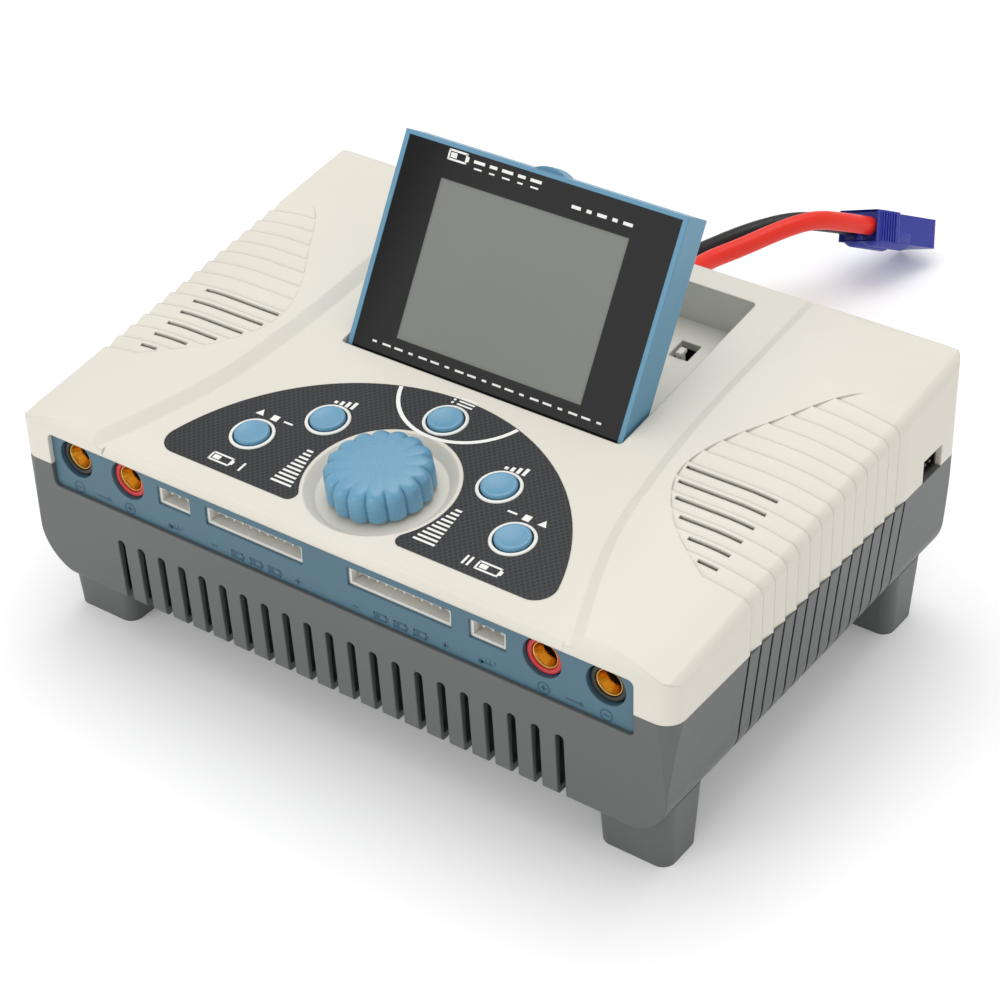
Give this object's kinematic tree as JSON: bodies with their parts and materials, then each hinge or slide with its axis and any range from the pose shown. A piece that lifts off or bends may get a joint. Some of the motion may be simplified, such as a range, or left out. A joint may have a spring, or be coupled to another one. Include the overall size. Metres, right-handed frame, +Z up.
{
  "type": "balance battery charger",
  "caption": "Two-channel desktop balance charger with a fold-up display, press-and-turn knob, round keys, front sockets, louvred shell, rear fans and a short input lead.",
  "frame": {"origin": "on the table under the middle of the housing", "axes": "+X to the user's right along the front panel, +Y towards the back, +Z up"},
  "size_m": [0.188, 0.281, 0.1116],
  "materials": {
    "cream_abs": "satin moulded ABS",
    "grey_abs": "satin moulded ABS",
    "blue_panel": "matte moulded ABS",
    "blue_abs": "satin moulded ABS",
    "blue_cap": "satin moulded ABS caps",
    "knob_blue": "satin moulded ABS",
    "keypad_film": "printed polyester overlay",
    "black_window": "gloss acrylic window",
    "lcd": "unlit LCD cell",
    "circuit_board": "glass-epoxy with solder mask",
    "black_nylon": "moulded nylon",
    "red_nylon": "moulded nylon",
    "white_nylon": "moulded nylon header",
    "gold_plate": "gold-plated brass",
    "tin_plate": "tin-plated pins",
    "steel": "zinc-plated steel",
    "heatsink_alu": "extruded, clear anodised",
    "copper_coil": "enamelled copper on ferrite",
    "capacitor_can": "sleeved aluminium cans",
    "fan_black": "moulded PBT",
    "silicone_red": "silicone lead sleeve",
    "silicone_black": "silicone lead sleeve",
    "plug_blue": "moulded nylon plug"
  },
  "bodies": {
    "housing": {"bottom_shell": "grey_abs", "capacitors": "capacitor_can", "contact_left_black": "gold_plate", "contact_left_red": "gold_plate", "contact_right_black": "gold_plate", "contact_right_red": "gold_plate", "control_board": "circuit_board", "encoder_body": "black_nylon", "fan_frame_left": "fan_black", "fan_frame_right": "fan_black", "front_panel": "blue_panel", "header_pins": "tin_plate", "heatsink_left": "heatsink_alu", "heatsink_right": "heatsink_alu", "housing_screws": "steel", "inductor_left": "copper_coil", "inductor_right": "copper_coil", "input_lead_black": "silicone_black", "input_lead_red": "silicone_red", "keypad_overlay": "keypad_film", "latch_left": "cream_abs", "latch_right": "cream_abs", "lead_gland": "black_nylon", "link_pins": "tin_plate", "link_socket": "black_nylon", "main_board": "circuit_board", "plug_contacts": "gold_plate", "plug_shell": "plug_blue", "port_balance_left": "white_nylon", "port_balance_right": "white_nylon", "port_board": "circuit_board", "port_temp_left": "white_nylon", "port_temp_right": "white_nylon", "rear_panel": "grey_abs", "socket_left_black": "black_nylon", "socket_left_red": "red_nylon", "socket_right_black": "black_nylon", "socket_right_red": "red_nylon", "switch_menu": "black_nylon", "switch_start_left": "black_nylon", "switch_start_right": "black_nylon", "switch_status_left": "black_nylon", "switch_status_right": "black_nylon", "top_shell": "cream_abs"},
    "display": {"display_frame": "blue_abs", "display_back": "blue_abs", "display_glass": "black_window", "lcd_panel": "lcd", "display_board": "circuit_board", "display_hinge_pins": "steel"},
    "encoder_stem": {"encoder_shaft": "steel"},
    "knob": {"control_knob": "knob_blue"},
    "left_fan": {"fan_rotor_left": "fan_black"},
    "right_fan": {"fan_rotor_right": "fan_black"},
    "key_start_left": {"button_start_left": "blue_cap"},
    "key_status_left": {"button_status_left": "blue_cap"},
    "key_menu": {"button_menu": "blue_cap"},
    "key_status_right": {"button_status_right": "blue_cap"},
    "key_start_right": {"button_start_right": "blue_cap"}
  },
  "joints": [
    {"name": "display_hinge", "type": "hinge", "parent": "housing", "child": "display", "pos_m": [0, 0.00021, 0.06379], "axis": [1, 0, 0], "range_deg": [-52, 12]},
    {"name": "press_start_left", "type": "slide", "parent": "housing", "child": "key_start_left", "axis": [0, 0.129, -0.9916], "range_m": [0, 0.0006], "stiffness_N_per_m": 1500, "springref_m": -0.0003},
    {"name": "press_status_left", "type": "slide", "parent": "housing", "child": "key_status_left", "axis": [0, 0.129, -0.9916], "range_m": [0, 0.0006], "stiffness_N_per_m": 1500, "springref_m": -0.0003},
    {"name": "press_menu", "type": "slide", "parent": "housing", "child": "key_menu", "axis": [0, 0.129, -0.9916], "range_m": [0, 0.0006], "stiffness_N_per_m": 1500, "springref_m": -0.0003},
    {"name": "press_status_right", "type": "slide", "parent": "housing", "child": "key_status_right", "axis": [0, 0.129, -0.9916], "range_m": [0, 0.0006], "stiffness_N_per_m": 1500, "springref_m": -0.0003},
    {"name": "press_start_right", "type": "slide", "parent": "housing", "child": "key_start_right", "axis": [0, 0.129, -0.9916], "range_m": [0, 0.0006], "stiffness_N_per_m": 1500, "springref_m": -0.0003},
    {"name": "press_knob", "type": "slide", "parent": "housing", "child": "encoder_stem", "axis": [0, 0.129, -0.9916], "range_m": [0, 0.0005], "stiffness_N_per_m": 3000, "springref_m": -0.0003},
    {"name": "turn_knob", "type": "hinge", "parent": "encoder_stem", "child": "knob", "pos_m": [0, -0.04096, 0.06309], "axis": [0, -0.129, 0.9916], "continuous": true},
    {"name": "spin_left_fan", "type": "hinge", "parent": "housing", "child": "left_fan", "pos_m": [-0.057, 0.0535, 0.0372], "axis": [0, 1, 0], "continuous": true},
    {"name": "spin_right_fan", "type": "hinge", "parent": "housing", "child": "right_fan", "pos_m": [0.057, 0.0535, 0.0372], "axis": [0, 1, 0], "continuous": true}
  ]
}
